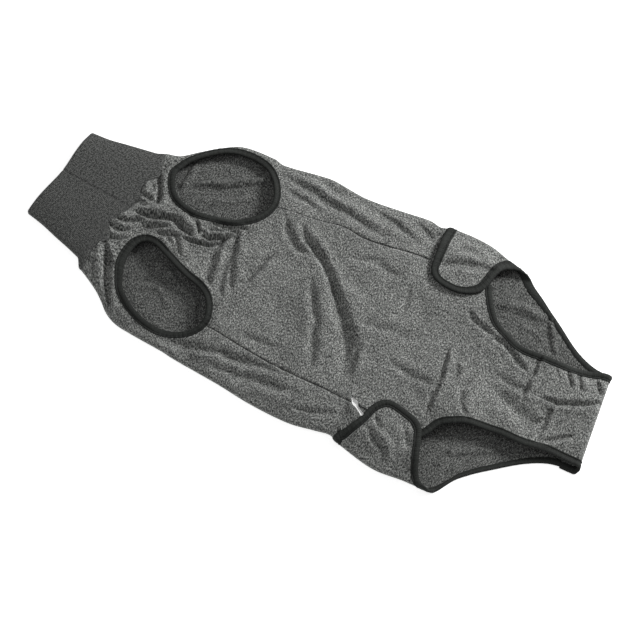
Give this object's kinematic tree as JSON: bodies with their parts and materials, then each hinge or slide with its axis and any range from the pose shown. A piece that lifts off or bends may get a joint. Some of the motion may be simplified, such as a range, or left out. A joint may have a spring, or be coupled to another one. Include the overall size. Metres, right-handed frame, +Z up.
{
  "type": "dog recovery suit",
  "caption": "Knitted tube suit that covers a dog's body, with a rib collar, bound leg openings and hip flaps that lap over the belly, lying flat with the belly side up.",
  "frame": {"origin": "middle of the suit's box, on the surface that it lies on", "axes": "+X along the suit from the collar to the tail, +Y towards the dog's left side, +Z up out of the belly"},
  "size_m": [0.6758, 0.2938, 0.0198],
  "materials": {
    "heather_jersey": "matt heather jersey knit",
    "rib_knit": "matt fine rib knit",
    "binding_tape": "matt folded stretch tape",
    "label_white": "satin woven strip, blank"
  },
  "bodies": {
    "root": {"neck_collar": "rib_knit", "back_panel": "heather_jersey", "belly_panel": "heather_jersey", "front_leg_binding_left": "binding_tape", "front_leg_binding_right": "binding_tape", "hip_binding_left": "binding_tape", "hip_binding_right": "binding_tape", "belly_binding_left": "binding_tape", "belly_binding_right": "binding_tape", "care_label": "label_white"}
  },
  "joints": []
}
